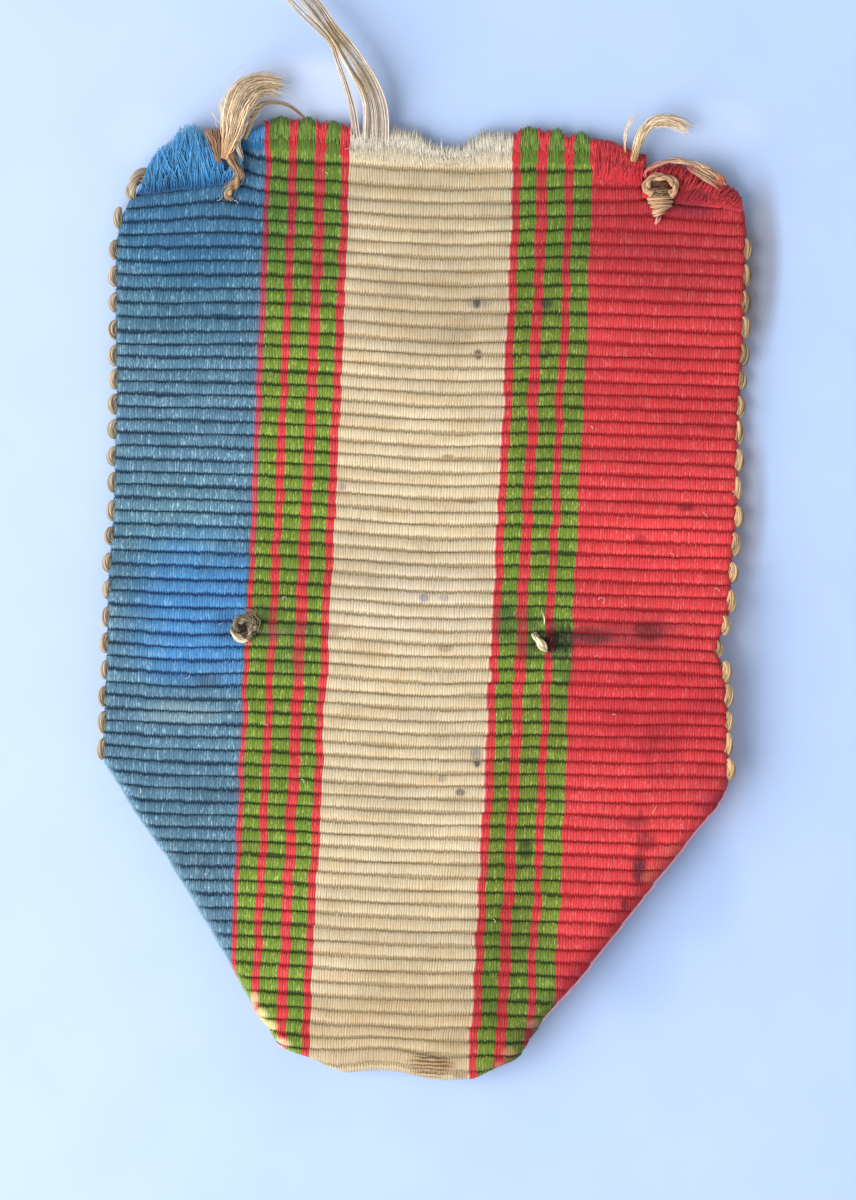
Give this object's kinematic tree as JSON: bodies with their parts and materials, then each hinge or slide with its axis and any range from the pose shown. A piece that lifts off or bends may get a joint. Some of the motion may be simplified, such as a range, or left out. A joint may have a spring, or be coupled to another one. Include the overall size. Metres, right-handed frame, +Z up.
{
  "type": "medal ribbon",
  "caption": "Worn ribbed medal ribbon, striped blue, green and red, cream and red, with tucked lower corners, weft loops along the edges and frayed thread ends.",
  "frame": {"origin": "on the surface that the ribbon lies on, under the middle of its whole length with the loose thread, and midway between the selvedges", "axes": "+Z up, out of the front of the ribbon; +Y along it, from the bottom fold to the raw end; +X to the viewer's right"},
  "size_m": [0.0382, 0.0635, 0.0027],
  "materials": {
    "striped_silk": "heavy ribbed silk with a soft sheen, striped lengthwise in blue, green and red, cream and red, faded and lightly stained",
    "weft_cord": "tan cotton cord, matt",
    "sewing_thread": "tan linen sewing thread, frayed at its ends",
    "knot_thread": "soiled tan sewing thread"
  },
  "bodies": {
    "root": {"woven_ribbon": "striped_silk", "left_weft_loops": "weft_cord", "right_weft_loops": "weft_cord", "left_pin_stitch": "sewing_thread", "left_thread_tuft": "sewing_thread", "right_pin_stitch": "sewing_thread", "right_overcast_thread": "sewing_thread", "right_thread_tuft": "sewing_thread", "loose_thread": "sewing_thread", "left_seam_knot": "knot_thread", "right_seam_knot": "knot_thread"}
  },
  "joints": []
}
